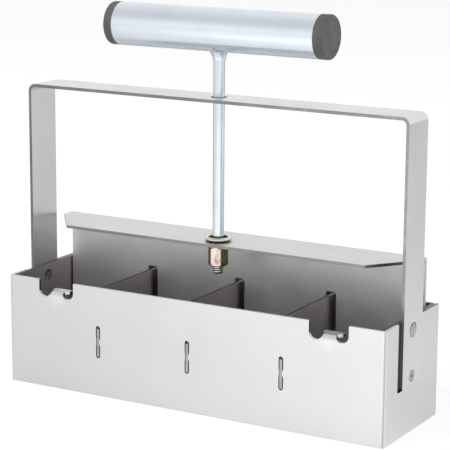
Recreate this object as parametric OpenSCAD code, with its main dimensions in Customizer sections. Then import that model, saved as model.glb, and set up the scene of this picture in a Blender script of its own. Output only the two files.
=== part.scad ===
// Hand soil blocker: an open steel tray of four cells, a bail frame, and a T-handled
// plunger whose press plates push the soil blocks out of the tray.
// X runs along the tray, the front faces -Y, and the tray stands on z = 0.

/* [Tray] */
// Width of one cell, between its side walls
cell_w = 50; // [30:0.5:70]
// Depth of one cell, from the front wall to the plunger's web
cell_d = 50; // [30:0.5:70]
// Space between the web and the back wall, which holds the lips of the press plates
rear_gap = 5.5; // [4.5:0.25:12]
// Height of the tray
tray_h = 55.5; // [40:0.5:90]
// Thickness of the tray's sheet steel
tray_t = 1.5; // [1:0.1:2]
// Inner radius of the bends in the sheet steel
bend_in = 0.6; // [0.4:0.1:1.2]
// Depth of the slot in each end wall that lets the bail's leg in, from the tray's top
leg_slot_h = 33; // [24:0.5:38]
// Room in front of the leg in its slot
leg_slot_room = 5.5; // [1:0.5:8]

/* [Dividers] */
// Thickness of a divider
divider_t = 1.5; // [1:0.1:2.5]
// How far the dividers stop below the tray's top
divider_drop = 0.8; // [0.4:0.1:4]
// Height of the divider's tab that is staked into the wall
tab_h = 14.5; // [8:0.5:22]
// How much wider than the tab its slot is
tab_slot_room = 1; // [0.5:0.1:2]

/* [Up-stops] */
// Width of the notch around an up-stop in the front wall
notch_w = 20.5; // [14:0.5:26]
// Depth of that notch
notch_h = 8.5; // [6:0.25:12]
// Radius of the round relief on each side of the tongue
relief_r = 3.5; // [2.5:0.1:4]
// Width of the tongue's tip
tongue_w = 10.5; // [7:0.5:12]
// How far the tongue reaches in from the wall's outer face
tongue_l = 7.5; // [5.5:0.25:11]
// How far the up-stops sit inboard of the middle of the outer cells
stop_inset = 0.9; // [0:0.1:4]

/* [Bail] */
// Width of the bail's strip
bail_w = 21; // [14:0.5:26]
// Thickness of the bail's strip
bail_t = 1.6; // [1.5:0.1:3]
// Height of the bail's top face above the tray's top
bail_rise = 95.5; // [85:0.5:145]
// Inner radius of the bail's two bends
bail_bend_in = 2.25; // [2:0.25:8]
// Diameter of the hole that guides the rod
guide_d = 8; // [6.5:0.1:12]

/* [Rivets] */
// Diameter of the rivets' shanks
rivet_d = 4; // [3:0.1:4.5]
// Head diameter of the upper rivets
upper_head_d = 6.6; // [5.5:0.1:8]
// Head diameter of the lower rivets
lower_head_d = 5; // [4.6:0.1:7]
// Height of the upper rivets below the tray's top
upper_rivet_drop = 5.8; // [5:0.1:9]
// Height of the lower rivets above the foot of the bail's leg
lower_rivet_rise = 4.6; // [4.5:0.1:8]

/* [Press carrier] */
// Thickness of the carrier's and the press plates' sheet steel
carrier_t = 1.5; // [1:0.1:2]
// Height of the carrier's flange above the tray's top
carrier_rise = 24.2; // [19:0.1:38]
// Depth of the flange, front to back
flange_d = 32; // [24:0.5:44]
// Width of the cut-off front corners of the flange, along X
flange_cut_x = 17.5; // [4:0.5:30]
// Depth of the cut-off front corners of the flange, along Y
flange_cut_y = 23; // [4:0.5:23]
// Side clearance of the carrier in the tray
carrier_side_gap = 0.75; // [0.3:0.05:2]
// Width of the slots in the web that pass the dividers
web_slot_w = 6; // [4:0.25:9]
// How far the plates can travel below the tray's rim
overtravel = 1.4; // [0.5:0.1:3]
// Clearance of a press plate in its cell
plate_gap = 0.7; // [0.3:0.05:1.5]
// Height of the lip that joins a press plate to the web
lip_h = 16; // [12:0.5:30]
// Shank diameter of the press plates' rivets
plate_rivet_d = 3.2; // [2.4:0.1:4]
// Head diameter of the press plates' rivets
plate_rivet_head_d = 6; // [5:0.1:7]

/* [Rod] */
// Diameter of the rod
rod_d = 5.6; // [4:0.1:6]
// Outer diameter of the cup washer on the flange
cup_d = 13.2; // [12:0.1:16]
// Height of the cup washer
cup_h = 2.4; // [2.2:0.1:4]
// Thickness of the cup washer's rolled rim
cup_rim = 2.1; // [1.2:0.1:2.2]
// Thickness of the washer under the flange
washer_t = 1.2; // [0.6:0.1:2]
// Outer diameter of the washer under the flange
washer_d = 10.2; // [9:0.1:14]
// Width of the nut across its flats
nut_af = 9; // [8:0.5:11]
// Height of the nut
nut_h = 10; // [5:0.1:11]
// Height of the cone at the nut's lower end
nut_cone_h = 1.8; // [0.6:0.1:2.5]
// Length of thread below the nut
thread_out = 3.6; // [2:0.1:5]
// Pitch of the rod's thread
thread_pitch = 1; // [0.5:0.1:1.2]

/* [Handle] */
// Outer diameter of the handle's tube
tube_d = 21.3; // [18:0.1:32]
// Wall of the handle's tube
tube_t = 2; // [1:0.1:3]
// Length of the handle's tube
tube_l = 110.5; // [80:0.5:160]
// Height of the tube's axis above the bail's top face
tube_rise = 32.5; // [27:0.5:60]
// Length of an end cap that shows
cap_l = 4.8; // [2:0.1:8]
// Depth of an end cap's plug in the tube
cap_plug_l = 12; // [6:0.5:20]
// Height of the weld under the tube
weld_h = 6; // [3:0.5:8]
// Width of the weld's leg at the tube
weld_leg = 3.4; // [1.5:0.1:4]

/* [Hidden] */
$fn = 64;
fine = 192;

// Colours
steel = [0.82, 0.82, 0.83];
strap_steel = [0.75, 0.75, 0.76];
rivet_steel = [0.62, 0.61, 0.6];
zinc = [0.84, 0.88, 0.93];
yellow_zinc = [0.8, 0.68, 0.62];
nickel = [0.72, 0.7, 0.64];
cap_grey = [0.3, 0.3, 0.3];

// Shared clearances: overrun of a cut, faces that lie on each other, a shank in its hole
cut = 1;
seat_gap = 0.05;
hole_gap = 0.1;

// Tray
cells = 4;
bend_out = bend_in + tray_t;
cell_pitch = cell_w + divider_t;
inner_x = (cells * cell_w + (cells - 1) * divider_t) / 2;
lap_x = inner_x + tray_t + seat_gap;
outer_x = lap_x + tray_t;
tray_d = cell_d + carrier_t + rear_gap + 2 * tray_t;
half_d = tray_d / 2;
web_y = tray_t + cell_d - half_d;
leg_slot_z = tray_h - leg_slot_h;
leg_slot_r = bend_in + tray_t / 2;

// Dividers
divider_h = tray_h - divider_drop;
tab_side_gap = 0.1;
tab_out_gap = 0.15;
tab_top_gap = 1.5;
tab_slot_w = divider_t + tab_slot_room;
tab_foot_gap = tab_slot_w / 4;
tab_slot_h = tab_h + tab_foot_gap + tab_top_gap;
tab_slot_shift = tab_slot_room / 5;
tab_slot_z = (tray_h - tab_slot_h) / 2;
pinch_h = 2;

// Up-stops, with the tongue's bend starting at the notch's lowest point
notch_z = tray_h - notch_h;
relief_x = notch_w / 2 - relief_r;
relief_z = notch_z + relief_r;
tongue_bend_in = 1.5;
tongue_bend_out = tongue_bend_in + tray_t;
neck_share = 0.6;
stop_x = 3 * cell_pitch / 2 - stop_inset;
stop_under_z = notch_z + tongue_bend_in;

// Bail
bail_top = tray_h + bail_rise;
bail_in_x = lap_x;
bail_out_x = bail_in_x + bail_t;
bail_bend_out = bail_bend_in + bail_t;
leg_foot_gap = 0.1;
leg_foot_z = leg_slot_z + leg_foot_gap;
foot_r = 0.6;

// Rivets through the bail's legs
upper_rivet_z = tray_h - upper_rivet_drop;
lower_rivet_z = leg_foot_z + lower_rivet_rise;
rivet_sink = bail_t / 2;
upper_rivet_room = 0.4;
lower_rivet_room = 0.3;
inner_head_r = 2.85;
inner_head_share = 0.6;
inner_head_h = tray_t * inner_head_share;
dimple_share = 0.36;

// Press carrier, its heights measured from the press plates' underside
carrier_h = tray_h + carrier_rise;
carrier_x = inner_x - carrier_side_gap;
carrier_bend_out = bend_in + carrier_t;
flange_z = carrier_h - carrier_t;
flange_y = web_y + carrier_t - flange_d;
web_foot_gap = 0.15;
web_foot_z = carrier_t + bend_in + web_foot_gap;
web_slot_z = divider_h + overtravel + hole_gap;
web_slot_r = 1;
plate_rivet_z = (lip_h + web_foot_z) / 2;
plate_rivet_share = 0.29;
plate_front_y = plate_gap - half_d + tray_t;
plate_head_h = 0.8;

// Rod and what it carries
rod_hole_r = rod_d / 2 + seat_gap;
cup_floor = 0.6;
thread_depth_share = 0.55;
nut_end_gap = 0.4;
nut_top_z = flange_z - washer_t;
nut_z = nut_top_z - nut_h;
rod_foot_z = nut_z - thread_out;
nut_turn = 16;
rod_tip = thread_pitch / 2;
tube_r = tube_d / 2;
tube_z = bail_top + tube_rise;
tube_hole_gap = 0.3;
rod_stub = 0.8;
weld_foot = 0.3;
rod_top_z = tube_z - tube_r + tube_t + rod_stub;
cap_edge = 0.8;
cap_fit = 0.1;

// Places of the dividers and of the cells, -X to +X
function divider_x(i) = (i - cells / 2) * cell_pitch;
function cell_x(i) = (i - (cells + 1) / 2) * cell_pitch;

// A quarter of a ring in the first quadrant: the section of a bend
module bend_section(r_in, t) {
    intersection() {
        difference() {
            circle(r_in + t);
            circle(r_in);
        }
        square(r_in + t);
    }
}

// A U-shaped sheet seen from above: a wall along X on the -Y side and two flaps behind it
module tray_sheet(end_x, flap_end) {
    translate([bend_out - end_x, -half_d])
        square([2 * (end_x - bend_out), tray_t]);
    for (side = [-1, 1])
        mirror([(1 - side) / 2, 0]) {
            translate([end_x - bend_out, bend_out - half_d])
                mirror([0, 1])
                    bend_section(bend_in, tray_t);
            translate([end_x - tray_t, bend_out - half_d])
                square([tray_t, flap_end + half_d - bend_out]);
        }
}

// A round-ended upright slot that stands on z = 0
module round_slot(w, h) {
    translate([-w / 2, w / 2])
        square([w, h - w]);
    for (end = [w / 2, h - w / 2])
        translate([0, end])
            circle(w / 2);
}

// The slot for a divider's tab: two round-ended halves with a pinch between them
module tab_slot() {
    half_h = (tab_slot_h - pinch_h) / 2;
    pinch_w = divider_t + 2 * tab_side_gap;
    for (foot = [0, half_h + pinch_h])
        translate([tab_slot_shift, foot])
            round_slot(tab_slot_w, half_h);
    translate([-pinch_w / 2, half_h / 2])
        square([pinch_w, half_h + pinch_h]);
}

// Cuts for the tab slots in a wall that stands on the -Y side
module tab_slot_cuts() {
    for (i = [1 : cells - 1])
        translate([divider_x(i), tray_t - half_d + cut, tab_slot_z])
            rotate([90, 0, 0])
                linear_extrude(tray_t + 2 * cut)
                    tab_slot();
}

// The outline of the notch around an up-stop, its middle at the stop's x
module notch_outline() {
    translate([-notch_w / 2, relief_z])
        square([notch_w, notch_h]);
    for (side = [-1, 1])
        translate([side * relief_x, relief_z])
            circle(relief_r);
    translate([-relief_x, notch_z])
        square([2 * relief_x, relief_r]);
}

// The tongue bent inward from the notch's foot; it stops the press plates
module tongue() {
    root = tray_t;
    neck_w = tongue_w * neck_share;
    tip_y = tongue_l - half_d;
    neck_y = tongue_bend_out - half_d;
    difference() {
        intersection() {
            translate([-notch_w / 2, 0, 0])
                rotate([90, 0, 90])
                    linear_extrude(notch_w) {
                        translate([-half_d, notch_z - root])
                            square([tray_t, root]);
                        translate([neck_y, notch_z])
                            mirror([1, 0])
                                bend_section(tongue_bend_in, tray_t);
                        translate([neck_y, stop_under_z])
                            square([tip_y - neck_y, tray_t]);
                    }
            translate([0, 0, notch_z - root])
                linear_extrude(root + tongue_bend_out + cut)
                    polygon([[-tongue_w / 2, -half_d], [tongue_w / 2, -half_d],
                             [tongue_w / 2, neck_y - tray_t], [neck_w / 2, neck_y],
                             [tongue_w / 2, neck_y + tray_t], [tongue_w / 2, tip_y],
                             [-tongue_w / 2, tip_y], [-tongue_w / 2, neck_y + tray_t],
                             [-neck_w / 2, neck_y], [-tongue_w / 2, neck_y - tray_t]]);
        }
        for (side = [-1, 1])
            translate([side * relief_x, neck_y, relief_z])
                rotate([90, 0, 0])
                    cylinder(r = relief_r, h = tongue_bend_out + cut);
    }
}

// The slot in an outer end flap that the bail's leg lies in, seen from the end
module leg_slot_outline() {
    slot_front = -bail_w / 2 - leg_slot_room;
    slot_back = bail_w / 2 + leg_foot_gap;
    difference() {
        translate([slot_front, leg_slot_z])
            square([slot_back - slot_front, leg_slot_h + cut]);
        translate([slot_front, leg_slot_z])
            difference() {
                square(leg_slot_r);
                translate([leg_slot_r, leg_slot_r])
                    circle(leg_slot_r);
            }
    }
}

// The front wall and the outer layers of the two ends
module front_shell() {
    color(steel) {
        difference() {
            linear_extrude(tray_h)
                tray_sheet(outer_x, half_d);
            tab_slot_cuts();
            for (side = [-1, 1]) {
                translate([side * stop_x, tray_t - half_d + cut, 0])
                    rotate([90, 0, 0])
                        linear_extrude(tray_t + 2 * cut)
                            notch_outline();
                mirror([(1 - side) / 2, 0, 0])
                    translate([lap_x - seat_gap / 2, 0, 0])
                        rotate([90, 0, 90])
                            linear_extrude(tray_t + cut)
                                leg_slot_outline();
            }
        }
        for (side = [-1, 1])
            translate([side * stop_x, 0, 0])
                tongue();
    }
}

// The back wall and the inner layers of the two ends, which the bail is riveted to
module back_shell() {
    color(steel)
        difference() {
            mirror([0, 1, 0])
                linear_extrude(tray_h)
                    tray_sheet(lap_x - seat_gap, half_d - bend_out - seat_gap);
            mirror([0, 1, 0])
                tab_slot_cuts();
            for (side = [-1, 1])
                for (z = [lower_rivet_z, upper_rivet_z])
                    mirror([(1 - side) / 2, 0, 0])
                        translate([inner_x, 0, z])
                            rotate([0, 90, 0]) {
                                translate([0, 0, -cut])
                                    cylinder(d = rivet_d + hole_gap, h = tray_t + 2 * cut);
                                cylinder(r1 = inner_head_r + seat_gap, r2 = rivet_d / 2, h = inner_head_h);
                            }
        }
}

// A divider between two cells, with a tab staked in the front and in the back wall
module divider(i) {
    wall_y = half_d - tray_t - seat_gap;
    tab_y = half_d - tab_out_gap;
    color(steel)
        translate([divider_x(i) - divider_t / 2, 0, 0]) {
            translate([0, -wall_y, 0])
                cube([divider_t, 2 * wall_y, divider_h]);
            translate([0, -tab_y, tab_slot_z + tab_foot_gap])
                cube([divider_t, 2 * tab_y, tab_h]);
        }
}

// Half of the bail's section, seen from the front
module bail_half_section() {
    translate([bail_in_x, leg_foot_z + foot_r])
        square([bail_t, bail_top - bail_bend_out - leg_foot_z - foot_r]);
    translate([bail_out_x - bail_bend_out, bail_top - bail_bend_out])
        bend_section(bail_bend_in, bail_t);
    translate([0, bail_top - bail_t])
        square([bail_out_x - bail_bend_out, bail_t]);
}

// The rounded foot of a leg, seen from the end
module foot_outline() {
    translate([foot_r - bail_w / 2, leg_foot_z])
        square([bail_w - 2 * foot_r, foot_r]);
    for (side = [-1, 1])
        translate([side * (bail_w / 2 - foot_r), leg_foot_z + foot_r])
            circle(foot_r);
}

// The hole of a rivet in a leg: a shank hole and a sunk seat for the head
module leg_rivet_hole(z, head_d, room) {
    translate([bail_in_x - cut, 0, z])
        rotate([0, 90, 0]) {
            cylinder(d = rivet_d + hole_gap, h = bail_t + 2 * cut);
            translate([0, 0, cut + bail_t - rivet_sink])
                cylinder(d = head_d + 2 * room, h = rivet_sink + cut);
        }
}

// The bail: one strip bent to a frame over the tray
module bail_strap() {
    color(strap_steel)
        difference() {
            union()
                for (side = [-1, 1])
                    mirror([(1 - side) / 2, 0, 0]) {
                        translate([0, bail_w / 2, 0])
                            rotate([90, 0, 0])
                                linear_extrude(bail_w)
                                    bail_half_section();
                        translate([bail_in_x, 0, 0])
                            rotate([90, 0, 90])
                                linear_extrude(bail_t)
                                    foot_outline();
                    }
            translate([0, 0, bail_top - bail_t - cut])
                cylinder(d = guide_d, h = bail_t + 2 * cut);
            for (side = [-1, 1])
                mirror([(1 - side) / 2, 0, 0]) {
                    leg_rivet_hole(upper_rivet_z, upper_head_d, upper_rivet_room);
                    leg_rivet_hole(lower_rivet_z, lower_head_d, lower_rivet_room);
                }
        }
}

// A rivet at each end: a sunk head outside, a shank, and a flush cone inside
module leg_rivets(z, head_d, drop, dimple) {
    shank_l = bail_in_x - inner_x + bail_t - rivet_sink;
    color(rivet_steel)
        for (side = [-1, 1])
            mirror([(1 - side) / 2, 0, 0])
                translate([inner_x, 0, z])
                    rotate([0, 90, 0])
                        difference() {
                            union() {
                                cylinder(r1 = inner_head_r, r2 = rivet_d / 2 - seat_gap, h = inner_head_h);
                                cylinder(d = rivet_d, h = shank_l + seat_gap);
                                translate([drop, 0, shank_l])
                                    cylinder(d = head_d, h = rivet_sink);
                            }
                            if (dimple)
                                translate([0, 0, shank_l])
                                    cylinder(d = head_d * dimple_share, h = rivet_sink + cut);
                        }
}

module upper_rivets() {
    leg_rivets(upper_rivet_z, upper_head_d, upper_rivet_room - hole_gap, false);
}

module lower_rivets() {
    leg_rivets(lower_rivet_z, lower_head_d, 0, true);
}

// The shank holes of one press plate, along Y, at the cell's middle
module plate_rivet_places() {
    for (side = [-1, 1])
        translate([side * cell_w * plate_rivet_share, 0, plate_rivet_z])
            children();
}

// The carrier: a flange under the rod and a web down the back of the cells
module press_carrier() {
    web_back_y = web_y + carrier_t;
    color(steel)
        difference() {
            translate([-carrier_x, 0, 0])
                rotate([90, 0, 90])
                    linear_extrude(2 * carrier_x) {
                        translate([flange_y, flange_z])
                            square([flange_d - carrier_bend_out, carrier_t]);
                        translate([web_back_y - carrier_bend_out, carrier_h - carrier_bend_out])
                            bend_section(bend_in, carrier_t);
                        translate([web_y, web_foot_z])
                            square([carrier_t, carrier_h - carrier_bend_out - web_foot_z]);
                    }
            for (side = [-1, 1])
                translate([side * carrier_x, flange_y, flange_z - cut])
                    linear_extrude(carrier_t + 2 * cut)
                        polygon([[0, -cut], [0, flange_cut_y], [-side * flange_cut_x, 0],
                                 [-side * flange_cut_x, -cut]]);
            for (i = [1 : cells - 1])
                translate([divider_x(i), web_back_y + cut, 0])
                    rotate([90, 0, 0])
                        linear_extrude(carrier_t + 2 * cut)
                            web_slot_outline();
            for (i = [1 : cells])
                translate([cell_x(i), web_back_y + cut, 0])
                    plate_rivet_places()
                        rotate([90, 0, 0])
                            cylinder(d = plate_rivet_d + hole_gap, h = carrier_t + 2 * cut);
            translate([0, 0, flange_z - cut])
                cylinder(r = rod_hole_r, h = carrier_t + 2 * cut);
        }
}

// A slot in the web that passes a divider, open at the web's foot
module web_slot_outline() {
    translate([-web_slot_w / 2, 0])
        square([web_slot_w, web_slot_z - web_slot_r]);
    translate([web_slot_r - web_slot_w / 2, 0])
        square([web_slot_w - 2 * web_slot_r, web_slot_z]);
    for (side = [-1, 1])
        translate([side * (web_slot_w / 2 - web_slot_r), web_slot_z - web_slot_r])
            circle(web_slot_r);
}

// A press plate: the plate under a cell and a lip riveted behind the web
module press_plate(i) {
    plate_w = cell_w - 2 * plate_gap;
    lip_y = web_y + carrier_t + seat_gap;
    bend_y = lip_y - bend_in;
    color(steel)
        translate([cell_x(i), 0, 0])
            difference() {
                translate([-plate_w / 2, 0, 0])
                    rotate([90, 0, 90])
                        linear_extrude(plate_w) {
                            translate([plate_front_y, 0])
                                square([bend_y - plate_front_y, carrier_t]);
                            translate([bend_y, carrier_bend_out])
                                mirror([0, 1])
                                    bend_section(bend_in, carrier_t);
                            translate([lip_y, carrier_bend_out])
                                square([carrier_t, lip_h - carrier_bend_out]);
                        }
                translate([0, lip_y + carrier_t + cut, 0])
                    plate_rivet_places()
                        rotate([90, 0, 0])
                            cylinder(d = plate_rivet_d + hole_gap, h = carrier_t + 2 * cut);
            }
}

// Two rivets for each press plate, through the web and the lip
module plate_rivets() {
    grip = 2 * carrier_t + seat_gap;
    color(rivet_steel)
        for (i = [1 : cells])
            translate([cell_x(i), web_y - plate_head_h, 0])
                plate_rivet_places()
                    rotate([-90, 0, 0]) {
                        cylinder(d1 = plate_rivet_d, d2 = plate_rivet_head_d, h = plate_head_h);
                        cylinder(d = plate_rivet_d, h = grip + 2 * plate_head_h);
                        translate([0, 0, grip + plate_head_h])
                            cylinder(d1 = plate_rivet_head_d, d2 = plate_rivet_d, h = plate_head_h);
                    }
}

// The rod, with the turns of its thread below the nut
module plunger_rod() {
    rod_r = rod_d / 2;
    root_r = rod_r - thread_pitch * thread_depth_share;
    turns = floor((thread_out - rod_tip) / thread_pitch);
    thread_z = rod_foot_z + rod_tip;
    color(zinc)
        rotate_extrude()
            polygon([[0, rod_foot_z], [root_r, rod_foot_z],
                     for (i = [0 : turns - 1])
                         for (p = [[rod_r, thread_pitch / 4], [rod_r, thread_pitch / 2],
                                   [root_r, thread_pitch * 3 / 4], [root_r, thread_pitch]])
                             [p[0], thread_z + i * thread_pitch + p[1]],
                     [rod_r, thread_z + turns * thread_pitch + thread_pitch / 4],
                     [rod_r, rod_top_z], [0, rod_top_z]]);
}

// A cup washer on the flange: a foot around the rod, a rising dish and a rolled rim
module cup_washer() {
    foot_x = rod_hole_r + cup_floor;
    rim_x = (cup_d - cup_rim) / 2;
    rim_z = cup_h - cup_rim / 2;
    color(nickel)
        translate([0, 0, carrier_h])
            rotate_extrude() {
                polygon([[rod_hole_r, 0], [foot_x, 0], [rim_x, rim_z - cup_floor / 2],
                         [rim_x, rim_z + cup_floor / 2], [foot_x, cup_floor], [rod_hole_r, cup_floor]]);
                translate([rim_x, rim_z])
                    circle(cup_rim / 2);
            }
}

// The washer between the flange and the nut
module flat_washer() {
    color(nickel)
        translate([0, 0, nut_top_z])
            difference() {
                cylinder(d = washer_d, h = washer_t);
                translate([0, 0, -cut])
                    cylinder(r = rod_hole_r, h = washer_t + 2 * cut);
            }
}

// The nut under the flange: chamfered at its top, with a long cone at its lower end
module rod_nut() {
    corner_r = nut_af / 2 / cos(30);
    chamfer = corner_r - nut_af / 2;
    end_r = rod_hole_r + nut_end_gap;
    body_r = corner_r + hole_gap;
    color(yellow_zinc)
        translate([0, 0, nut_z])
            difference() {
                intersection() {
                    rotate([0, 0, nut_turn])
                        cylinder(r = corner_r, h = nut_h, $fn = 6);
                    rotate_extrude()
                        polygon([[0, 0], [end_r, 0], [body_r, nut_cone_h], [body_r, nut_h - chamfer],
                                 [corner_r - chamfer, nut_h], [0, nut_h]]);
                }
                translate([0, 0, -cut])
                    cylinder(r = rod_hole_r, h = nut_h + 2 * cut);
            }
}

// The weld between the rod and the tube: a collar with a hollow flare, cut to the tube
module handle_weld() {
    weld_x = rod_d / 2 + weld_leg;
    weld_z = tube_z - tube_r - weld_h + weld_leg / 2;
    leg = weld_leg - weld_foot;
    flare_r = (weld_h * weld_h + leg * leg) / (2 * leg);
    color(zinc)
        difference() {
            rotate_extrude($fn = fine)
                difference() {
                    translate([rod_hole_r, weld_z])
                        square([weld_x - rod_hole_r, tube_z - weld_z]);
                    translate([rod_d / 2 + weld_foot + flare_r, weld_z])
                        circle(flare_r, $fn = fine);
                }
            translate([-tube_l / 2, 0, tube_z])
                rotate([0, 90, 0])
                    cylinder(r = tube_r + seat_gap, h = tube_l, $fn = fine);
        }
}

// The tube of the T-handle
module handle_tube() {
    color(zinc)
        difference() {
            translate([-tube_l / 2, 0, tube_z])
                rotate([0, 90, 0])
                    difference() {
                        cylinder(r = tube_r, h = tube_l);
                        translate([0, 0, -cut])
                            cylinder(r = tube_r - tube_t, h = tube_l + 2 * cut);
                    }
            translate([0, 0, tube_z - tube_r - cut])
                cylinder(d = rod_d + 2 * tube_hole_gap, h = tube_r);
        }
}

// An end cap: a head as wide as the tube and a plug inside it
module end_cap() {
    color(cap_grey)
        translate([tube_l / 2, 0, tube_z])
            rotate([0, 90, 0]) {
                translate([0, 0, seat_gap])
                    cylinder(r = tube_r, h = cap_l - cap_edge - seat_gap);
                translate([0, 0, cap_l - cap_edge])
                    cylinder(r1 = tube_r, r2 = tube_r - cap_edge, h = cap_edge);
                translate([0, 0, -cap_plug_l])
                    cylinder(r = tube_r - tube_t - cap_fit, h = cap_plug_l + cap_l / 2);
            }
}

module end_cap_left() {
    mirror([1, 0, 0])
        end_cap();
}

module end_cap_right() {
    end_cap();
}

front_shell();
back_shell();
divider(1);  // divider_1
divider(2);  // divider_2
divider(3);  // divider_3
bail_strap();
upper_rivets();
lower_rivets();
press_carrier();
press_plate(1);  // press_plate_1
press_plate(2);  // press_plate_2
press_plate(3);  // press_plate_3
press_plate(4);  // press_plate_4
plate_rivets();
plunger_rod();
cup_washer();
flat_washer();
rod_nut();
handle_weld();
handle_tube();
end_cap_left();
end_cap_right();
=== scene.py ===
"""A hand soil blocker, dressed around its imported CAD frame."""
import math

import bmesh
import bpy
from mathutils import Matrix, Vector, noise


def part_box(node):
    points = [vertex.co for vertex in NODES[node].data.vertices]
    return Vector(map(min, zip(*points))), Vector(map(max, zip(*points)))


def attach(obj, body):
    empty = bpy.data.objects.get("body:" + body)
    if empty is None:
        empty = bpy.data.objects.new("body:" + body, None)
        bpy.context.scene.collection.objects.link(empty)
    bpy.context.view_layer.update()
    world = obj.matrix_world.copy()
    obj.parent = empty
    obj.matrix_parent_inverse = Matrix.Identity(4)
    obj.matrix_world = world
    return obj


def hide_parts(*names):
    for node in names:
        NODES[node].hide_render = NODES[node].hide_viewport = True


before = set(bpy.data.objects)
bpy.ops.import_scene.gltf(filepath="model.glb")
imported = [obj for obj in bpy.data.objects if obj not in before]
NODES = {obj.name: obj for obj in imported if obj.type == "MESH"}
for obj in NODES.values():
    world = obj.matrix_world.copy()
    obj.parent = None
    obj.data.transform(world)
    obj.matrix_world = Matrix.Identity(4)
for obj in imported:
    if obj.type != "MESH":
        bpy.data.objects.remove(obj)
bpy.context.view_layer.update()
MM = 0.001

# Camera, solved from the photograph's straight edges: pixels, degrees and millimetres
PHOTO_SIDE = 450
FOCAL_PX = 1826.92
CENTRE_PX = (222.42, 222.45)
AZIMUTH, ELEVATION, ROLL = 29.88, 12.18, 0.36
CAMERA_AT = (438.05, -758.34, 277.97)
SENSOR = 36

# Sheets, in millimetres: the tray with its up-stops, then the bail and the press
TRAY_T = 1.5
BEND_IN = 0.6
BEND_OUT = BEND_IN + TRAY_T
TONGUE_W = 10.5
TONGUE_L = 7.5
TONGUE_TIP = 0.5
STOP_X = 76.35
NOTCH_H = 8.5
BAIL_T = 1.6
BAIL_CORNER = 4.2
CARRIER_T = 1.5

# How the sheets' edges are broken and their faces told apart, in millimetres and degrees
FINE_EDGE = 0.16
WALL_EDGE = 0.3
MERGE = 0.002
FLAT_ANGLE, SHARP_ANGLE = 0.5, 40
SLACK = 0.1
CARRIER_BEND = CARRIER_T + BEND_IN + SLACK

# The rod and its thread, in millimetres, with the rings in one pitch and the steepness of a crest
ROD_R = 2.8
THREAD_PITCH = 1.0
THREAD_DEPTH = 0.55
THREAD_STEPS = 10
THREAD_CREST = 1.6
THREAD_IN_NUT = 1
THREAD_END = 0.2
TIP_CHAMFER = 0.2
TIP_TAPER = 0.15

# The nut, in millimetres, with its turn: a hexagon with a lip and a long cone below and a chamfer above.
# The curve is the power that bends the cone
NUT_AF = 9
NUT_TURN = math.radians(16)
NUT_CONE_H = 1.8
NUT_CONE_CURVE = 0.85
NUT_CONE_STEPS = 8
NUT_END_GAP = 0.4
NUT_LIP_H, NUT_LIP_W = 0.12, 0.35
NUT_CHAMFER_STEPS = 5
NUT_TOP_H, NUT_TOP_W = 0.06, 0.25
NUT_WEAR = 0.12
NUT_GRIP = 0.05

# The tube and its weld bead, in millimetres, with the bead's counts and the frequency of its ripples
TUBE_R = 10.65
TUBE_T = 2
WELD_FOOT = 0.3
WELD_SINK = 0.15
WELD_STEPS, WELD_LEVELS, WELD_ROUNDS = 96, 22, 4
RIPPLE_DEPTH = 0.22
RIPPLES_ROUND, RIPPLES_UP = 3, 0.9

# The end caps, in millimetres: a plug, a shoulder on the tube's end, a rounded rim and a dished face.
# A shoulder point is (out from the tube's end, in from the tube's side), and a dish point is (in from
# the face, in from the rim)
CAP_RIM = 0.7
CAP_RIM_STEPS = 7
PLUG_GAP = 0.1
PLUG_WALL = 1.6
PLUG_CHAMFER = 0.5
PLUG_NECK = 1.2
CAP_SHOULDER = ((0.02, 0.35), (0.15, 0.08), (0.5, 0))
CAP_DISH = ((0, 0.8), (0.1, 1.3), (0.25, 1.8))
DISH_DEPTH = 0.3
GATE_R, GATE_FLOOR_R, GATE_CENTRE_R = 0.6, 0.4, 0.01
GATE_DEPTH = 0.42

# Where finishes and painted light change, in millimetres or as shares: the painted highlight round the
# tongues' roots, the rivets' inner ends with painted shade at their rims and painted glints, the painted
# shade inside the cup washer's mouth, and the thread's flanks down to the painted shade in its roots
HALO_SPAN = (1, 6.5)
RIVET_END_R = 2.7
RIVET_SHADE_SHARES = (0.6, 0.85)
RIVET_DEPTH_SPAN = (0.2, 0.4)
GLINT_AT = (-0.9, -1.3)
GLINT_SPAN = (0.4, 0.9)
CUP_SHADE_MOUTH = (4.6, 5.2)
FLANK_MARGIN = 0.1

# Light levels: the floor's own colour, what it adds for the camera and in reflections, and the sky
FLOOR_GREY = 0.86
CAMERA_LIFT = 0.45
FRONT_LIFT = (0.13, 0.55)
BACK_DROP = 0.2
FAR_DROP = 0.07
AHEAD_LIFT = 0.4
WEDGE_SHARES = (0.2, 1.0)
SKY_AS_LAMP = 0.55
SKY_SEEN = 1.0
SKY_MIRRORED = 0.97
SKY_TOP_DROP = 0.3
SKY_BACK_SHARES = (1.0, 0.3)

# Where the mirrored floor changes, in metres behind the front wall or across the line of sight, and
# as slopes beside the tray
SIGHT_SLOPE = 0.574
ACROSS_SPAN = (-0.2, 0.2)
NEAR_SPAN = (-0.03, 0.05)
FAR_SPAN = (0.15, 0.45)
AHEAD_START, AHEAD_STOP = (-0.22, -0.26), (-0.5, -0.42)
AHEAD_ACROSS = (-0.08, 0.02)
WEDGE_SLOPE = 0.27
WEDGE_SPAN = (0.05, 0.25)
LEAST_BESIDE = 0.001

# Where the mirrored sky changes, by the height and the depth of its direction
SKY_TOP_SPAN = (0.32, 0.68)
SKY_BACK_SPAN = (-0.5, 0.35)

# The floor and what the lamps look at, in metres
FLOOR_HALF = 3
FLOOR_Z = -0.0001
LAMP_TARGET = (0, 0, 0.08)


def mm(*values):
    """A vector in metres from millimetres."""
    return Vector(values) * MM


BOXES = {node: tuple(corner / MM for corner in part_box(node)) for node in NODES}


def box_mm(node):
    """The lowest and highest corners of a CAD node, in millimetres."""
    return BOXES[node]


# Materials

WHITE = (1.0, 1.0, 1.0)

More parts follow.
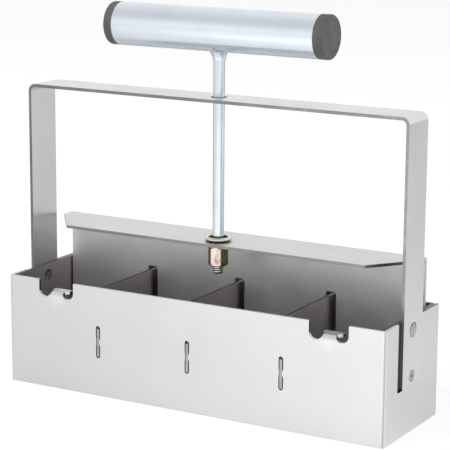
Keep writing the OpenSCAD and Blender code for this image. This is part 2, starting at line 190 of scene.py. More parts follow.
# Spans of a noise: wide for soft patches, narrow for distinct ones, upper for ones that cover less
WIDE = (0.3, 0.7)
NARROW = (0.35, 0.65)
UPPER = (0.35, 0.7)


class Graph:
    """Short calls for the nodes of a material or of the world."""

    def __init__(self, tree):
        self.tree = tree

    def add(self, kind, **settings):
        """A new node with its settings."""
        node = self.tree.nodes.new(kind)
        for key, value in settings.items():
            setattr(node, key, value)
        return node

    def link(self, source, target):
        """Joins two sockets."""
        self.tree.links.new(source, target)

    def ramp(self, value, low, high, to_low=0.0, to_high=1.0):
        """Maps a span of a value onto another span, clamped."""
        node = self.add("ShaderNodeMapRange", clamp=True)
        node.inputs["From Min"].default_value = low
        node.inputs["From Max"].default_value = high
        node.inputs["To Min"].default_value = to_low
        node.inputs["To Max"].default_value = to_high
        self.link(value, node.inputs["Value"])
        return node.outputs["Result"]

    def ramp_mm(self, value, low, high, to_low=0.0, to_high=1.0):
        """The same for a length, whose span is given in millimetres."""
        return self.ramp(value, low * MM, high * MM, to_low, to_high)

    def mix(self, factor, a, b):
        """A colour between a and b; each is a colour or a socket."""
        node = self.add("ShaderNodeMix", data_type="RGBA", blend_type="MIX")
        for index, value in ((6, a), (7, b)):
            if isinstance(value, tuple):
                node.inputs[index].default_value = (*value, 1)
            else:
                self.link(value, node.inputs[index])
        self.link(factor, node.inputs[0])
        return node.outputs[2]

    def math(self, operation, a, b=0.0):
        """One sum, product or root; each operand is a number or a socket."""
        node = self.add("ShaderNodeMath", operation=operation)
        for index, value in ((0, a), (1, b)):
            if isinstance(value, (int, float)):
                node.inputs[index].default_value = value
            else:
                self.link(value, node.inputs[index])
        return node.outputs[0]

    def distance(self, a, b):
        """The length of a vector with two components."""
        squares = self.math("ADD", self.math("MULTIPLY", a, a), self.math("MULTIPLY", b, b))
        return self.math("SQRT", squares)

    def parts(self, vector):
        """The X, Y and Z of a vector socket."""
        node = self.add("ShaderNodeSeparateXYZ")
        self.link(vector, node.inputs[0])
        return node.outputs["X"], node.outputs["Y"], node.outputs["Z"]


class Shader(Graph):
    """A Principled material."""

    def __init__(self, name, metallic=1.0, roughness=0.35, colour=(0.8, 0.8, 0.8)):
        self.material = bpy.data.materials.new(name)
        self.material.use_nodes = True
        super().__init__(self.material.node_tree)
        self.bsdf = self.tree.nodes["Principled BSDF"]
        self.bsdf.inputs["Metallic"].default_value = metallic
        self.bsdf.inputs["Roughness"].default_value = roughness
        self.bsdf.inputs["Base Color"].default_value = (*colour, 1)
        self.place = self.add("ShaderNodeTexCoord").outputs["Object"]

    def noise(self, per_metre, detail=3.0, roughness=0.6, distortion=0.0):
        """Noise whose frequency along X, Y and Z is given in cycles per metre."""
        scaled = self.add("ShaderNodeMapping", vector_type="POINT")
        scaled.inputs["Scale"].default_value = per_metre
        self.link(self.place, scaled.inputs["Vector"])
        node = self.add("ShaderNodeTexNoise", noise_dimensions="3D")
        node.inputs["Scale"].default_value = 1.0
        node.inputs["Detail"].default_value = detail
        node.inputs["Roughness"].default_value = roughness
        node.inputs["Distortion"].default_value = distortion
        self.link(scaled.outputs["Vector"], node.inputs["Vector"])
        return node.outputs["Fac"]

    def from_axis(self):
        """The distance from the rod's axis."""
        x, y = self.parts(self.place)[:2]
        return self.distance(x, y)

    def colour(self, socket):
        """Links the base colour."""
        self.link(socket, self.bsdf.inputs["Base Color"])

    def roughness(self, socket):
        """Links the roughness."""
        self.link(socket, self.bsdf.inputs["Roughness"])

    def bump(self, *layers):
        """Stacks bump layers; each is (height socket, depth in millimetres)."""
        normal = None
        for height, depth in layers:
            node = self.add("ShaderNodeBump")
            node.inputs["Strength"].default_value = 1.0
            node.inputs["Distance"].default_value = depth * MM
            self.link(height, node.inputs["Height"])
            if normal is not None:
                self.link(normal, node.inputs["Normal"])
            normal = node.outputs["Normal"]
        self.link(normal, self.bsdf.inputs["Normal"])


def painted_halo(s, body, share):
    """A colour that brightens round the roots of the tongues: a bright halo painted on the wall as a
    highlight.
    """
    x, _, z = s.parts(s.place)
    root = box_mm("front_shell")[1].z - NOTCH_H
    across = s.math("SUBTRACT", s.math("ABSOLUTE", x), STOP_X * MM)
    down = s.math("SUBTRACT", z, root * MM)
    near = s.ramp_mm(s.distance(across, down), *HALO_SPAN, share, 0.0)
    return s.mix(near, body, WHITE)


def sheet_steel(name, grain, light, dark, rough=0.36, metallic=1.0, halo_share=0.0):
    """Satin rolled sheet steel: faint lines along the rolling, soft mottling and handling smudges."""
    s = Shader(name, metallic=metallic)
    lines = s.noise(grain, detail=2.0)
    cloud = s.noise((16, 16, 20), roughness=0.5, distortion=0.4)
    smudge = s.noise((60, 60, 45), detail=2.0, roughness=0.5, distortion=0.8)
    wave = s.noise((9, 9, 12), detail=1.0, roughness=0.4)
    body = s.mix(s.ramp(cloud, *WIDE), dark, light)
    lined = s.mix(s.ramp(lines, *WIDE, 0.0, 0.12), body, dark)
    # With a halo share, a painted highlight round the tongues' roots
    s.colour(painted_halo(s, lined, halo_share) if halo_share else lined)
    spread = s.math("ADD", s.ramp(smudge, *UPPER, -0.04, 0.05), rough)
    s.roughness(s.math("ADD", spread, s.ramp(lines, *WIDE, -0.015, 0.015)))
    s.bump((wave, 0.35), (lines, 0.0012), (smudge, 0.006))
    return s.material


def cut_steel(name, light, dark, rough=0.42, metallic=1.0, left_shade=0.0):
    """The cut edge of a sheet: short striations, a brown cast and, with a left shade, painted shade towards
    the left end.
    """
    s = Shader(name, metallic=metallic)
    stripes = s.noise((900, 900, 900), detail=2.0, roughness=0.7)
    patches = s.noise((70, 70, 70))
    body = s.mix(s.ramp(patches, *NARROW), dark, light)
    striped = s.mix(s.ramp(stripes, *UPPER, 0.0, 0.5), body, dark)
    if left_shade:
        # Painted shade, darkening the edge towards the left
        half = box_mm("bail_strap")[1].x
        left = s.ramp_mm(s.parts(s.place)[0], -half, half, left_shade, 0.0)
        striped = s.mix(left, striped, (0.10, 0.095, 0.097))
    s.colour(striped)
    s.roughness(s.ramp(stripes, *WIDE, rough - 0.08, rough + 0.1))
    s.bump((stripes, 0.02))
    return s.material


def zinc_plate(name, grain, light, dark, rough=0.24, contrast=0.5):
    """Blue-white zinc plating with lengthwise drawing marks and faint stains."""
    s = Shader(name)
    lines = s.noise(grain)
    stain = s.noise((45, 60, 60), roughness=0.55, distortion=0.5)
    speck = s.noise((1300, 1300, 1300), detail=1.0, roughness=0.5)
    body = s.mix(s.ramp(stain, 0.4, 0.75, 0.0, 0.45), light, dark)
    s.colour(s.mix(s.ramp(lines, 0.42, 0.62, 0.0, contrast), body, dark))
    s.roughness(s.math("ADD", s.ramp(stain, *WIDE, -0.03, 0.06), rough))
    s.bump((lines, 0.004), (speck, 0.003))
    return s.material


def passivated(name):
    """Yellow zinc plating: painted shade on the facets that face -X, and a film that turns from pink to
    olive with the way a facet faces.
    """
    s = Shader(name)
    sideways = s.parts(s.add("ShaderNodeNewGeometry").outputs["True Normal"])[0]
    patch = s.noise((260, 260, 160), distortion=1.0)
    streak = s.noise((1500, 1500, 200), detail=2.0)
    side = s.math("ADD", s.math("MULTIPLY", sideways, 0.9), s.ramp(patch, *WIDE, -0.22, 0.22))
    pink = s.mix(s.ramp(patch, *NARROW), (0.82, 0.60, 0.57), (0.80, 0.68, 0.58))
    olive = s.mix(s.ramp(streak, *NARROW), (0.12, 0.09, 0.05), (0.34, 0.28, 0.15))
    warm = s.mix(s.ramp(side, 0.15, 0.5), pink, olive)
    # Painted shade: near black on the facets that face -X
    s.colour(s.mix(s.ramp(side, -0.75, -0.35), (0.10, 0.075, 0.05), warm))
    s.roughness(s.ramp(streak, *WIDE, 0.18, 0.32))
    s.bump((streak, 0.01), (patch, 0.02))
    return s.material


def bright_plate(name, light, dark, rough=0.16):
    """Bright plating on a small turned or pressed piece."""
    s = Shader(name)
    patch = s.noise((300, 300, 300))
    fine = s.noise((2200, 2200, 2200), detail=1.0, roughness=0.5)
    s.colour(s.mix(s.ramp(patch, *NARROW), light, dark))
    s.roughness(s.ramp(patch, *WIDE, rough - 0.04, rough + 0.08))
    s.bump((fine, 0.004))
    return s.material


def end_rivet(name, light, dark, rough):
    """Rivets in the tray's ends: satin heads, and inner ends in painted shade, darkest at their rims, with
    one painted glint.
    """
    s = Shader(name, roughness=rough)
    x, y, z = s.parts(s.place)
    low, high = box_mm("upper_rivets")
    across = s.math("SUBTRACT", y, (low.y + high.y) / 2 * MM)
    down = s.math("SUBTRACT", z, (low.z + high.z) / 2 * MM)
    glint_across = s.math("SUBTRACT", across, GLINT_AT[0] * MM)
    glint_down = s.math("SUBTRACT", down, GLINT_AT[1] * MM)
    patch = s.noise((300, 300, 300))
    head = s.mix(s.ramp(patch, *NARROW), light, dark)
    # Painted shade on the inner ends, darker towards the rims, and a white painted glint at one spot
    rim = s.ramp_mm(s.distance(across, down), *(RIVET_END_R * share for share in RIVET_SHADE_SHARES))
    end = s.mix(rim, (0.40, 0.37, 0.365), (0.13, 0.12, 0.12))
    end = s.mix(s.ramp_mm(s.distance(glint_across, glint_down), *GLINT_SPAN), WHITE, end)
    inner = box_mm("front_shell")[1].x - 2 * TRAY_T
    outside = s.ramp_mm(s.math("ABSOLUTE", x), *(inner + depth for depth in RIVET_DEPTH_SPAN))
    s.colour(s.mix(outside, end, head))
    s.bump((patch, 0.006))
    return s.material


def rim_plate_with_shade(name):
    """Bright plating on the cup washer, with painted shade inside the cup and under its rim."""
    s = Shader(name)
    up = s.parts(s.add("ShaderNodeNewGeometry").outputs["Normal"])[2]
    patch = s.noise((300, 300, 300))
    bright = s.mix(s.ramp(patch, *NARROW), (0.90, 0.88, 0.82), (0.66, 0.63, 0.54))
    # Painted shade: near black inside the cup's mouth, and dark olive on faces that point down
    shaded_inside = s.mix(s.ramp_mm(s.from_axis(), *CUP_SHADE_MOUTH), (0.05, 0.05, 0.042), bright)
    s.colour(s.mix(s.ramp(up, -0.35, 0.15), (0.09, 0.085, 0.065), shaded_inside))
    s.roughness(s.ramp(patch, *WIDE, 0.1, 0.24))
    s.bump((patch, 0.01))
    return s.material


def thread_plate(name):
    """The rod's plating on its thread: bright crests and roots in painted shade."""
    s = Shader(name, roughness=0.16)
    root = ROD_R - THREAD_DEPTH
    glint = s.noise((900, 900, 300), detail=2.0)
    bright = s.mix(s.ramp(glint, 0.4, 0.6), (0.96, 0.99, 1.0), (0.62, 0.67, 0.70))
    shade_to_crest = s.ramp_mm(s.from_axis(), root + FLANK_MARGIN, ROD_R - FLANK_MARGIN)
    # Painted shade in the thread's roots, rising to the bright crests
    s.colour(s.mix(shade_to_crest, (0.07, 0.08, 0.08), bright))
    s.bump((glint, 0.006))
    return s.material


def moulded_plastic(name, light, dark):
    """Matt moulded plastic with a fine grain and rubbed patches."""
    s = Shader(name, metallic=0.0)
    s.bsdf.inputs["Specular IOR Level"].default_value = 0.4
    grain = s.noise((1600, 1600, 1600), detail=2.0)
    rub = s.noise((150, 150, 150), distortion=0.5)
    s.colour(s.mix(s.ramp(rub, *UPPER), dark, light))
    s.roughness(s.ramp(rub, *WIDE, 0.62, 0.48))
    s.bump((grain, 0.025), (rub, 0.03))
    return s.material


# The lines of the rolling or drawing, in cycles per metre along X, Y and Z
WALL_GRAIN = (14, 14, 1800)
STRIP_GRAIN = (14, 1800, 14)
PRESS_GRAIN = (14, 1800, 1800)
TUBE_GRAIN = (9, 300, 300)
ROD_GRAIN = (420, 420, 5)

STEEL = {"light": (0.81, 0.81, 0.815), "dark": (0.765, 0.767, 0.785)}
RIVET_STEEL = {"light": (0.60, 0.56, 0.555), "dark": (0.46, 0.42, 0.415), "rough": 0.36}

TRAY = sheet_steel("tray_steel", WALL_GRAIN, **STEEL)
# The front wall's steel, with a painted highlight round the tongues' roots
FRONT = sheet_steel("front_steel", WALL_GRAIN, **STEEL, halo_share=0.38)
# The inside of the tray, its ends' inner faces and the dividers: a darker, browner copy of the steel as
# painted shade
SHADED_INNER = sheet_steel("inner_shaded_steel", WALL_GRAIN, light=(0.77, 0.715, 0.715), dark=(0.71, 0.655, 0.66))
FRONT_BACK = sheet_steel("front_inner_steel", WALL_GRAIN, light=(0.81, 0.79, 0.785),
                         dark=(0.76, 0.74, 0.735), metallic=0.6)
# A darker copy of the steel: painted shade along the bends' middles and on the tab slots' side walls
BEND_SHADE = sheet_steel("bend_shaded_steel", WALL_GRAIN, light=(0.56, 0.56, 0.565), dark=(0.50, 0.50, 0.51))
SHADED = sheet_steel("shaded_steel", WALL_GRAIN, light=(0.21, 0.195, 0.195),
                     dark=(0.16, 0.145, 0.145), rough=0.45)
STRIP = sheet_steel("strap_steel", STRIP_GRAIN, light=(0.82, 0.82, 0.825), dark=(0.765, 0.765, 0.775))
PRESS = sheet_steel("press_steel", PRESS_GRAIN, light=(0.81, 0.81, 0.812),
                    dark=(0.76, 0.762, 0.768), rough=0.46, metallic=0.82)
# A bright cream copy of the cut edge for the edges that face up: painted highlight
RIM_HIGHLIGHT = cut_steel("rim_edge_highlight", light=(0.97, 0.94, 0.89), dark=(0.90, 0.86, 0.80), rough=0.5, metallic=0.3)
CUT = cut_steel("cut_edge", light=(0.24, 0.22, 0.215), dark=(0.15, 0.135, 0.13))
SHADED_CUT = cut_steel("shaded_edge", light=(0.11, 0.10, 0.098), dark=(0.07, 0.062, 0.06), rough=0.5)
TAB_CUT = cut_steel("tab_edge", light=(0.55, 0.53, 0.525), dark=(0.42, 0.40, 0.395))
STRIP_CUT = cut_steel("strap_edge", light=(0.44, 0.42, 0.425), dark=(0.31, 0.295, 0.30), left_shade=0.5)
PRESS_CUT = cut_steel("press_edge", light=(0.36, 0.335, 0.33), dark=(0.27, 0.25, 0.245))
RIVET = end_rivet("rivet_steel", **RIVET_STEEL)
PLATE_RIVET = bright_plate("plate_rivet_steel", **RIVET_STEEL)
TUBE_ZINC = zinc_plate("tube_zinc", TUBE_GRAIN, light=(0.83, 0.89, 0.96), dark=(0.71, 0.775, 0.85),
                       contrast=0.22)
ROD_ZINC = zinc_plate("rod_zinc", ROD_GRAIN, light=(0.89, 0.94, 0.98), dark=(0.52, 0.58, 0.64),
                      rough=0.2, contrast=0.75)
THREAD = thread_plate("thread_zinc")
NUT_FILM_SHADED = passivated("nut_film_shaded")
# The flat washer's nickel plating, darkened to olive as painted shade under the flange
NICKEL_SHADED = bright_plate("nickel", light=(0.52, 0.48, 0.40), dark=(0.24, 0.21, 0.15))
CUP_PLATE_SHADED = rim_plate_with_shade("cup_plate_shaded")
CAP = moulded_plastic("cap_plastic", light=(0.165, 0.165, 0.16), dark=(0.125, 0.125, 0.12))


# Making pieces

def piece(name, mesh, body, slot, *materials):
    """Puts a mesh in the scene as a piece that rides on a body."""
    made = bpy.data.objects.new(name, mesh)
    bpy.context.scene.collection.objects.link(made)
    for material in materials:
        mesh.materials.append(material)
    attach(made, body)
    return made


def level_shading(made, angle=35):
    """Smooth shading that keeps flat faces flat and edges past the angle sharp."""
    mesh = made.data
    mesh.polygons.foreach_set("use_smooth", [True] * len(mesh.polygons))
    mesh.set_sharp_from_angle(angle=math.radians(angle))
    weighted = made.modifiers.new("level_normals", "WEIGHTED_NORMAL")
    weighted.weight = 100
    weighted.keep_sharp = True


def is_sharp(edge):
    """Whether an edge's two faces meet at more than the sharp angle."""
    return len(edge.link_faces) == 2 and edge.calc_face_angle(0) > math.radians(SHARP_ANGLE)


def dressed(node, name, slot, body, pick, materials, edge=FINE_EDGE):
    """A copy of a CAD node with its edges broken; pick gives each face the index of its material."""
    bm = bmesh.new()
    bm.from_mesh(NODES[node].data)
    bmesh.ops.remove_doubles(bm, verts=bm.verts, dist=MERGE * MM)
    bmesh.ops.dissolve_limit(bm, angle_limit=math.radians(FLAT_ANGLE), use_dissolve_boundaries=False,
                             verts=bm.verts, edges=bm.edges, delimit=set())
    bmesh.ops.bevel(bm, geom=[e for e in bm.edges if is_sharp(e)], offset=edge * MM, offset_type="OFFSET",
                    segments=2, profile=0.5, affect="EDGES", clamp_overlap=True, miter_outer="ARC")
    for face in bm.faces:
        face.normal_update()
        face.material_index = pick(face.calc_center_median() / MM, face.normal)
    mesh = bpy.data.meshes.new(name)
    bm.to_mesh(mesh)
    bm.free()
    made = piece(name, mesh, body, slot, *materials)
    level_shading(made)
    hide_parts(node)


def rings_mesh(name, rings):
    """A closed mesh from rings of points, joined in order and capped at both ends."""
    mesh = bpy.data.meshes.new(name)
    count = len(rings[0])
    points = [p for ring in rings for p in ring]
    faces = []
    for k in range(len(rings) - 1):
        for i in range(count):
            j = (i + 1) % count
            faces.append((k * count + i, k * count + j, (k + 1) * count + j, (k + 1) * count + i))
    faces.append(tuple(reversed(range(count))))
    faces.append(tuple(range((len(rings) - 1) * count, len(rings) * count)))
    mesh.from_pydata([p * MM for p in points], [], faces)
    mesh.validate()
    return mesh


def turned(name, stations, radius, place=Matrix.Identity(4), steps=96):
    """A turned form from (height, value) stations; radius(angle, height, value) is in millimetres."""
    rings = []
    for height, value in stations:
        ring = []
        for i in range(steps):
            angle = 2 * math.pi * i / steps
            r = radius(angle, height, value)
            ring.append(place @ Vector((r * math.cos(angle), r * math.sin(angle), height)))
        rings.append(ring)
    return rings_mesh(name, rings)


def plain(angle, height, value):
    """The radius of a round station."""
    return value


# The tray, the bail and the press: sheet steel, whose faces are told apart by place and normal

# The index of a face's material: the sheet's own face, its main edges, its other cut edges, the inside of an
# end in painted shade, the middle of a bend in painted shade, and a side that the tray mostly hides
ON_FACE, ON_EDGE, ON_CUT, ON_INNER, ON_BEND, ON_BACK = range(6)

# How far a normal points along an axis, from square on to only slightly
SQUARE, NEARLY, WELL, MOSTLY, HALF, SLIGHTLY = 0.95, 0.9, 0.8, 0.6, 0.5, 0.3


def wall_index(across, up, rim=ON_CUT):
    """The material of a wall's face by how far its normal points across the sheet and up."""
    if abs(across) > SQUARE:
        return ON_FACE
    if up > SLIGHTLY:
        return rim
    return ON_CUT if abs(across) < HALF else ON_FACE


def bend_index(n):
    """The material round an upright bend: painted shade along its middle."""
    return ON_BEND if min(abs(n.x), abs(n.y)) > HALF else ON_FACE


def end_index(at, n):
    """The material of an end flap: its inner face is the browner one, in painted shade."""
    return ON_INNER if abs(n.x) > SQUARE and n.x * at.x < 0 else wall_index(n.x, 0)


def front_pick(at, n):
    """The front shell: tongues with cut tips, the front wall with a painted highlight on its up-facing rim,
    and two ends.
    """
    low, high = box_mm("front_shell")
    if abs(abs(at.x) - STOP_X) < TONGUE_W / 2 + SLACK and at.y < 0:
        on_tip = n.y > WELL and at.y > low.y + TONGUE_L - TONGUE_TIP
        return ON_CUT if abs(n.x) > MOSTLY or on_tip else ON_FACE
    if abs(at.x) < high.x - BEND_OUT:
        # The side walls of the tab slots take the bend's painted shade
        if n.x > SLIGHTLY and abs(n.y) < HALF and at.z < high.z - NOTCH_H:
            return ON_BEND
        return ON_BACK if n.y > SQUARE else wall_index(n.y, n.z, ON_EDGE)
    if at.y < low.y + BEND_OUT:
        return ON_EDGE if n.z > SLIGHTLY else bend_index(n)
    return end_index(at, n)


def back_pick(at, n):
    """The back shell: the wall, in painted shade inside, and two ends, in painted shade outside, where the
    leg's slot shows them.
    """
    high = box_mm("back_shell")[1]
    if abs(at.x) < high.x - BEND_OUT:
        return ON_BACK if n.y < -NEARLY else wall_index(n.y, 0)
    if at.y > high.y - BEND_OUT:
        return ON_CUT if abs(n.z) > HALF else bend_index(n)
    return ON_BACK if abs(n.x) > SQUARE and n.x * at.x > 0 else end_index(at, n)


def divider_pick(at, n):
    """A divider: the tabs' ends, the other edges and the two faces."""
    if abs(n.y) > NEARLY:
        return ON_CUT
    return ON_EDGE if abs(n.x) < NEARLY else ON_FACE


def bail_pick(at, n):
    """The bail: its cut edges are the long ones, the rod's hole and the legs' feet."""
    high = box_mm("bail_strap")[1]
    if abs(n.y) > NEARLY:
        return ON_EDGE
    on_top = at.z > high.z - BAIL_T - SLACK and abs(at.x) < high.x - BAIL_CORNER
    on_leg = at.z < high.z - BAIL_CORNER
    hole_or_bevel = on_top and abs(n.z) < HALF
    foot_or_bevel = on_leg and abs(n.x) < HALF and abs(n.y) < HALF
    return ON_EDGE if hole_or_bevel or foot_or_bevel else ON_FACE


def carrier_pick(at, n):
    """The carrier: the flange's right cut-off corner is darker than the other edges."""
    high = box_mm("press_carrier")[1]
    on_flange = at.z > high.z - CARRIER_BEND
    if n.x > SLIGHTLY and n.y < -SLIGHTLY:
        return ON_CUT
    if abs(n.x) > MOSTLY:
        return ON_EDGE if on_flange else ON_FACE
    if at.y < high.y - CARRIER_BEND:
        return ON_EDGE if abs(n.z) < HALF else ON_FACE
    return ON_EDGE if not on_flange and abs(n.y) < HALF else ON_FACE


def plate_pick(at, n):
    """A press plate: the edges of the plate and of its lip."""
    high = box_mm("press_plate_1")[1]
    if abs(n.x) > MOSTLY:
        return ON_EDGE
    if at.z < CARRIER_T + SLACK / 2 and at.y < high.y - CARRIER_BEND:
        return ON_EDGE if abs(n.z) < HALF else ON_FACE
    return ON_EDGE if at.z > CARRIER_BEND and abs(n.y) < HALF else ON_FACE


dressed("front_shell", "front_shell_sheet", "tray_steel", "tray", front_pick,
        (FRONT, RIM_HIGHLIGHT, CUT, SHADED_INNER, BEND_SHADE, FRONT_BACK), WALL_EDGE)
dressed("back_shell", "back_shell_sheet", "tray_steel", "tray", back_pick,
        (TRAY, CUT, CUT, SHADED_INNER, BEND_SHADE, SHADED))
for i in (1, 2, 3):
    dressed(f"divider_{i}", f"divider_sheet_{i}", "tray_steel", "tray", divider_pick,
            (SHADED_INNER, SHADED_CUT, TAB_CUT))
dressed("bail_strap", "bail_strip", "strap_steel", "tray", bail_pick, (STRIP, STRIP_CUT))
dressed("press_carrier", "press_carrier_sheet", "press_steel", "plunger", carrier_pick,
        (PRESS, PRESS_CUT, CUT))
for i in (1, 2, 3, 4):
    dressed(f"press_plate_{i}", f"press_plate_sheet_{i}", "press_steel", "plunger", plate_pick,
            (PRESS, CUT))


# The plunger's turned pieces

def make_rod():
    """The rod, with the helix of its thread below the nut and a chamfered tip."""
    low, high = box_mm("plunger_rod")
    nut_low = box_mm("rod_nut")[0].z
    root = ROD_R - THREAD_DEPTH
    fine = THREAD_PITCH / THREAD_STEPS
    count = round((nut_low + THREAD_IN_NUT - low.z) / fine)
    tip, threaded, shank = range(3)
    stations = [(low.z, tip)] + [(low.z + fine * k, threaded) for k in range(1, count)]
    stations += [(nut_low + THREAD_IN_NUT + THREAD_END, shank), (high.z, shank)]

    def radius(angle, height, kind):
        """Plain on the shank, cut back at the tip, and a helix between them."""
        if kind == shank:
            return ROD_R
        if kind == tip:
            return root - TIP_CHAMFER
        phase = ((height - low.z) / THREAD_PITCH - angle / (2 * math.pi)) % 1
        crest = min(1, max(0, THREAD_CREST - 2 * THREAD_CREST * abs(phase - 0.5)))
        ease = min(1, (height - low.z) / THREAD_PITCH)
        return root - TIP_TAPER * (1 - ease) + THREAD_DEPTH * crest * ease

    mesh = turned("plunger_rod_threaded", stations, radius)
    made = piece("plunger_rod_threaded", mesh, "plunger", "zinc", ROD_ZINC, THREAD)
    for face in mesh.polygons:
        face.material_index = int(face.center.z < nut_low * MM)
    level_shading(made, angle=50)
    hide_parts("plunger_rod")


def make_nut():
    """The hexagon nut: flats, a chamfer at its top, a long cone at its lower end and softened edges."""
    low, high = box_mm("rod_nut")
    corner = NUT_AF / 2 / math.cos(math.pi / 6)
    chamfer = corner - NUT_AF / 2
    end = ROD_R + NUT_END_GAP
    bore = ROD_R - NUT_GRIP

    def cone(share):
        """The radius at a share of the cone's height."""
        return end + (corner - end) * math.sin(math.pi / 2 * share) ** NUT_CONE_CURVE

    stations = [(low.z, bore), (low.z, end), (low.z + NUT_LIP_H, end + NUT_LIP_W)]
    for k in range(1, NUT_CONE_STEPS + 1):
        stations.append((low.z + NUT_CONE_H * k / NUT_CONE_STEPS, cone(k / NUT_CONE_STEPS)))
    stations.append(((low.z + high.z) / 2, corner))
    for k in range(NUT_CHAMFER_STEPS, 0, -1):
        inset = chamfer * (1 - k / NUT_CHAMFER_STEPS)
        stations.append((high.z - chamfer * k / NUT_CHAMFER_STEPS, corner - inset))
    stations.append((high.z - NUT_TOP_H, corner - chamfer))
    stations += [(high.z, corner - chamfer - NUT_TOP_W), (high.z, bore)]

    def radius(angle, height, limit):
        """The least of the flat, the worn corner and the station's own limit."""
        turn = (angle - NUT_TURN) % (math.pi / 3) - math.pi / 6
        flat = NUT_AF / 2 / math.cos(turn)
        return min(flat, corner - NUT_WEAR, limit)

    mesh = turned("rod_nut_plated", stations, radius, steps=180)
    made = piece("rod_nut_plated", mesh, "plunger", "yellow_zinc", NUT_FILM_SHADED)
    level_shading(made, angle=22)
    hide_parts("rod_nut")


def make_weld():
    """The weld bead: a flare from the rod to the tube, with the small ripples of its run."""
    low, high = box_mm("handle_weld")
    tube_low, tube_high = box_mm("handle_tube")
    tube_z = (tube_low.z + tube_high.z) / 2
    foot_r = ROD_R + WELD_FOOT
    leg = high.x - foot_r
    rise = tube_z - TUBE_R - low.z
    flare = (rise * rise + leg * leg) / (2 * leg)

    def reach_at(height):
        """The bead's radius at a height above its foot."""
        return foot_r + flare - math.sqrt(max(flare ** 2 - min(height, flare) ** 2, 0))

    def top_at(angle):
        """The height where the bead meets the tube, found in a few rounds."""
        top = low.z + rise
        for _ in range(WELD_ROUNDS):
            across = reach_at(top - low.z) * math.sin(angle)
            top = tube_z - math.sqrt(TUBE_R ** 2 - across ** 2) + WELD_SINK
        return top

    rings = []
    for k in range(WELD_LEVELS + 1):
        ring = []
        for i in range(WELD_STEPS):
            angle = 2 * math.pi * i / WELD_STEPS
            x, y = math.cos(angle), math.sin(angle)
            z = low.z + (top_at(angle) - low.z) * k / WELD_LEVELS
            ripple = noise.noise(Vector((x * RIPPLES_ROUND, y * RIPPLES_ROUND, z * RIPPLES_UP)))
            r = reach_at(z - low.z) + RIPPLE_DEPTH * ripple * k / WELD_LEVELS
            ring.append(Vector((r * x, r * y, z)))
        rings.append(ring)
    made = piece("handle_weld_bead", rings_mesh("handle_weld_bead", rings), "plunger", "zinc", ROD_ZINC)
    level_shading(made, angle=50)
    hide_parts("handle_weld")


def cap_profile(inner, shoulder, reach):
    """A cap's (distance from the tube's middle, radius) points, from its plug's end to its face's centre."""
    bore = TUBE_R - TUBE_T - PLUG_GAP
    face_r = TUBE_R - CAP_RIM
    floor = reach - DISH_DEPTH
    gate = reach - GATE_DEPTH
    points = [(inner, bore - PLUG_WALL), (inner, bore - PLUG_CHAMFER), (inner + PLUG_CHAMFER, bore)]
    points += [(shoulder - PLUG_NECK, bore), (shoulder, bore)]
    points += [(shoulder + out, TUBE_R - inset) for out, inset in CAP_SHOULDER]
    for k in range(CAP_RIM_STEPS + 1):
        turn = math.radians(90 * k / CAP_RIM_STEPS)
        points.append((reach - CAP_RIM + CAP_RIM * math.sin(turn), face_r + CAP_RIM * math.cos(turn)))
    points += [(reach - depth, face_r - inset) for depth, inset in CAP_DISH]
    points += [(floor, TUBE_R / 2), (floor, GATE_R), (gate, GATE_FLOOR_R), (gate, GATE_CENTRE_R)]
    return points


def make_caps():
    """The end caps: a plug in the tube, and a moulded head with a shallow dish and its gate's mark."""
    tube_low, tube_high = box_mm("handle_tube")
    axis_z = (tube_low.z + tube_high.z) / 2
    for turn, node in ((-90, "end_cap_left"), (90, "end_cap_right")):
        low, high = box_mm(node)
        inner, reach = sorted((abs(low.x), abs(high.x)))
        profile = cap_profile(inner, tube_high.x, reach)
        place = Matrix.Translation((0, 0, axis_z)) @ Matrix.Rotation(math.radians(turn), 4, "Y")
        name = f"{node}_moulded"
        made = piece(name, turned(name, profile, plain, place), "plunger", "cap_plastic", CAP)
        level_shading(made, angle=40)
        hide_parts(node)


make_rod()
make_nut()
make_weld()
make_caps()

# CAD nodes whose shape is right keep it and take a finish
for node, material in (("handle_tube", TUBE_ZINC), ("cup_washer", CUP_PLATE_SHADED), ("flat_washer", NICKEL_SHADED),
                       ("upper_rivets", RIVET), ("lower_rivets", RIVET), ("plate_rivets", PLATE_RIVET)):
    shown = NODES[node]
    shown.data.materials.clear()
    shown.data.materials.append(material)


# Floor, background, light and camera

def mirrored_floor(s):
    """How much brighter the metal sees the floor: brightest at the right, with a dark wedge by the tray."""
    low, high = box_mm("front_shell")
    x, y, _ = s.parts(s.place)
    beside = s.math("MAXIMUM", s.math("SUBTRACT", x, high.x * MM), LEAST_BESIDE)
    behind = s.math("SUBTRACT", y, low.y * MM)
    across = s.math("ADD", x, s.math("MULTIPLY", behind, -SIGHT_SLOPE))
    slope = s.ramp(across, *ACROSS_SPAN, *FRONT_LIFT)
    near = s.ramp(behind, *NEAR_SPAN, 0.0, BACK_DROP)
    far = s.ramp(behind, *FAR_SPAN, 0.0, FAR_DROP)
    level = s.math("SUBTRACT", s.math("SUBTRACT", slope, near), far)
    off = s.math("ABSOLUTE", s.math("ADD", s.math("DIVIDE", behind, beside), WEDGE_SLOPE))
    started = s.ramp(behind, *AHEAD_START, 0.0, AHEAD_LIFT)
    ahead = s.math("MULTIPLY", started, s.ramp(behind, *AHEAD_STOP))
    ahead = s.math("MULTIPLY", ahead, s.ramp(across, *AHEAD_ACROSS))
    wedged = s.math("MULTIPLY", level, s.ramp(off, *WEDGE_SPAN, *WEDGE_SHARES))
    return s.math("ADD", wedged, ahead)


def seen_rays(s):
    """The light path's outputs, and 1 for a ray from the camera or through glass."""
    rays = s.add("ShaderNodeLightPath").outputs
    return rays, s.math("MAXIMUM", rays["Is Camera Ray"], rays["Is Transmission Ray"])


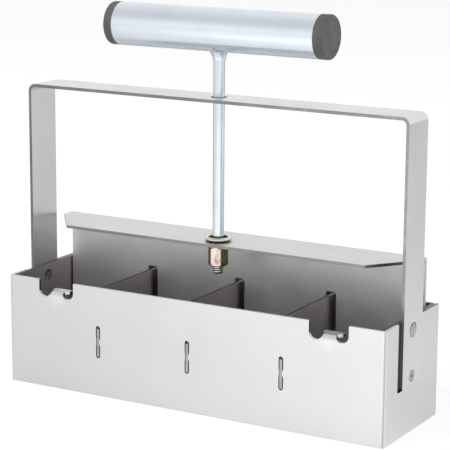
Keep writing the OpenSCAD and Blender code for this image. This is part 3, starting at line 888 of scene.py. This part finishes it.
def make_floor():
    """A plain pale floor that the camera sees as white, with the object's shadow on it."""
    half, z = FLOOR_HALF, FLOOR_Z
    mesh = bpy.data.meshes.new("floor")
    corners = [(-half, -half, z), (half, -half, z), (half, half, z), (-half, half, z)]
    mesh.from_pydata(corners, [], [(0, 1, 2, 3)])
    floor = bpy.data.objects.new("floor", mesh)
    bpy.context.scene.collection.objects.link(floor)
    s = Shader("floor", metallic=0.0, roughness=0.9, colour=(FLOOR_GREY, FLOOR_GREY, FLOOR_GREY))
    s.bsdf.inputs["Specular IOR Level"].default_value = 0.0
    rays, seen = seen_rays(s)
    mirrored = s.math("MULTIPLY", rays["Is Glossy Ray"], mirrored_floor(s))
    glow = s.add("ShaderNodeEmission")
    glow.inputs["Color"].default_value = (*WHITE, 1)
    s.link(s.math("ADD", s.math("MULTIPLY", seen, CAMERA_LIFT), mirrored), glow.inputs["Strength"])
    both = s.add("ShaderNodeAddShader")
    s.link(s.bsdf.outputs[0], both.inputs[0])
    s.link(glow.outputs[0], both.inputs[1])
    s.link(both.outputs[0], s.tree.nodes["Material Output"].inputs["Surface"])
    mesh.materials.append(s.material)


def make_world():
    """A surround that is white for the camera, softer overhead in reflections and softest as a lamp."""
    world = bpy.data.worlds.new("studio")
    bpy.context.scene.world = world
    world.use_nodes = True
    s = Graph(world.node_tree)
    light = s.tree.nodes["Background"]
    light.inputs["Color"].default_value = (*WHITE, 1)
    rays, seen = seen_rays(s)
    _, back, up = s.parts(s.add("ShaderNodeTexCoord").outputs["Generated"])
    overhead = s.ramp(up, *SKY_TOP_SPAN, 0.0, SKY_TOP_DROP)
    drop = s.math("MULTIPLY", overhead, s.ramp(back, *SKY_BACK_SPAN, *SKY_BACK_SHARES))
    sky = s.math("SUBTRACT", SKY_MIRRORED - SKY_AS_LAMP, drop)
    for_camera = s.math("MULTIPLY", seen, SKY_SEEN - SKY_AS_LAMP)
    for_gloss = s.math("MULTIPLY", rays["Is Glossy Ray"], sky)
    extra = s.math("ADD", for_camera, for_gloss)
    s.link(s.math("ADD", extra, SKY_AS_LAMP), light.inputs["Strength"])


def make_lamp(name, at, size, watts):
    """A soft square lamp that looks at the object's middle and doesn't show in the metal."""
    data = bpy.data.lights.new(name, "AREA")
    data.shape = "SQUARE"
    data.size = size
    data.energy = watts
    lamp = bpy.data.objects.new(name, data)
    lamp.location = at
    lamp.rotation_mode = "QUATERNION"
    lamp.rotation_quaternion = (Vector(LAMP_TARGET) - Vector(at)).to_track_quat("-Z", "Y")
    lamp.visible_glossy = False
    bpy.context.scene.collection.objects.link(lamp)


def make_camera():
    """The photograph's camera."""
    a, e = math.radians(AZIMUTH), math.radians(ELEVATION)
    back = Vector((math.sin(a) * math.cos(e), -math.cos(a) * math.cos(e), math.sin(e)))
    right = (-back).cross(Vector((0, 0, 1))).normalized()
    up = right.cross(-back)
    c, s = math.cos(math.radians(ROLL)), math.sin(math.radians(ROLL))
    right, up = right * c + up * s, up * c - right * s
    data = bpy.data.cameras.new("camera")
    data.sensor_width = SENSOR
    data.lens = FOCAL_PX * SENSOR / PHOTO_SIDE
    data.shift_x = (PHOTO_SIDE / 2 - CENTRE_PX[0]) / PHOTO_SIDE
    data.shift_y = (CENTRE_PX[1] - PHOTO_SIDE / 2) / PHOTO_SIDE
    camera = bpy.data.objects.new("camera", data)
    turn = Matrix((right, up, back)).transposed().to_4x4()
    camera.matrix_world = Matrix.Translation(mm(*CAMERA_AT)) @ turn
    bpy.context.scene.collection.objects.link(camera)
    bpy.context.scene.camera = camera


make_floor()
make_world()
make_lamp("key", at=(-0.9, -1.1, 1.5), size=1.4, watts=9)
make_lamp("fill", at=(1.3, -0.9, 1.0), size=1.0, watts=4)
make_camera()
bpy.context.scene.view_settings.view_transform = "Standard"
